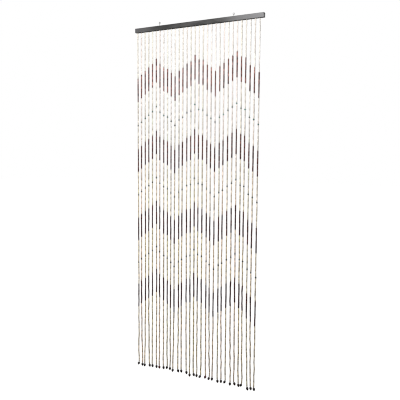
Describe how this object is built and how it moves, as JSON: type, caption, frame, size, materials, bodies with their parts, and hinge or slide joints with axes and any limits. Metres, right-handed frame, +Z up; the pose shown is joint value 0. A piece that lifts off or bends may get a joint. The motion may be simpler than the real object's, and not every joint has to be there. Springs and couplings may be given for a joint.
{
  "type": "bamboo bead curtain on a wooden head rail",
  "caption": "Door curtain of thin bamboo tubes strung in strands with dark zigzag bands, a teardrop bead under each strand, on a wooden rail with screw eyes.",
  "frame": {"origin": "middle of the rail's top face, on which the two screw eyes stand", "axes": "+Z up, against the hang of the strands; +X along the rail, to the right for someone who faces the curtain; -Y out of its face, towards that person"},
  "size_m": [0.9, 0.022, 2.234],
  "materials": {
    "stained_wood": "dark grey stain, satin",
    "eye_steel": "zinc plated",
    "bamboo": "natural bamboo, with dark stained tubes in four zigzag bands",
    "dark_bead": "dark lacquer"
  },
  "bodies": {
    "root": {"head_rail": "stained_wood", "screw_eye_left": "eye_steel", "screw_eye_right": "eye_steel", "strands": "bamboo", "end_bead_01": "dark_bead", "end_bead_02": "dark_bead", "end_bead_03": "dark_bead", "end_bead_04": "dark_bead", "end_bead_05": "dark_bead", "end_bead_06": "dark_bead", "end_bead_07": "dark_bead", "end_bead_08": "dark_bead", "end_bead_09": "dark_bead", "end_bead_10": "dark_bead", "end_bead_11": "dark_bead", "end_bead_12": "dark_bead", "end_bead_13": "dark_bead", "end_bead_14": "dark_bead", "end_bead_15": "dark_bead", "end_bead_16": "dark_bead", "end_bead_17": "dark_bead", "end_bead_18": "dark_bead", "end_bead_19": "dark_bead", "end_bead_20": "dark_bead", "end_bead_21": "dark_bead", "end_bead_22": "dark_bead", "end_bead_23": "dark_bead", "end_bead_24": "dark_bead", "end_bead_25": "dark_bead", "end_bead_26": "dark_bead", "end_bead_27": "dark_bead", "end_bead_28": "dark_bead", "end_bead_29": "dark_bead", "end_bead_30": "dark_bead", "end_bead_31": "dark_bead"}
  },
  "joints": []
}
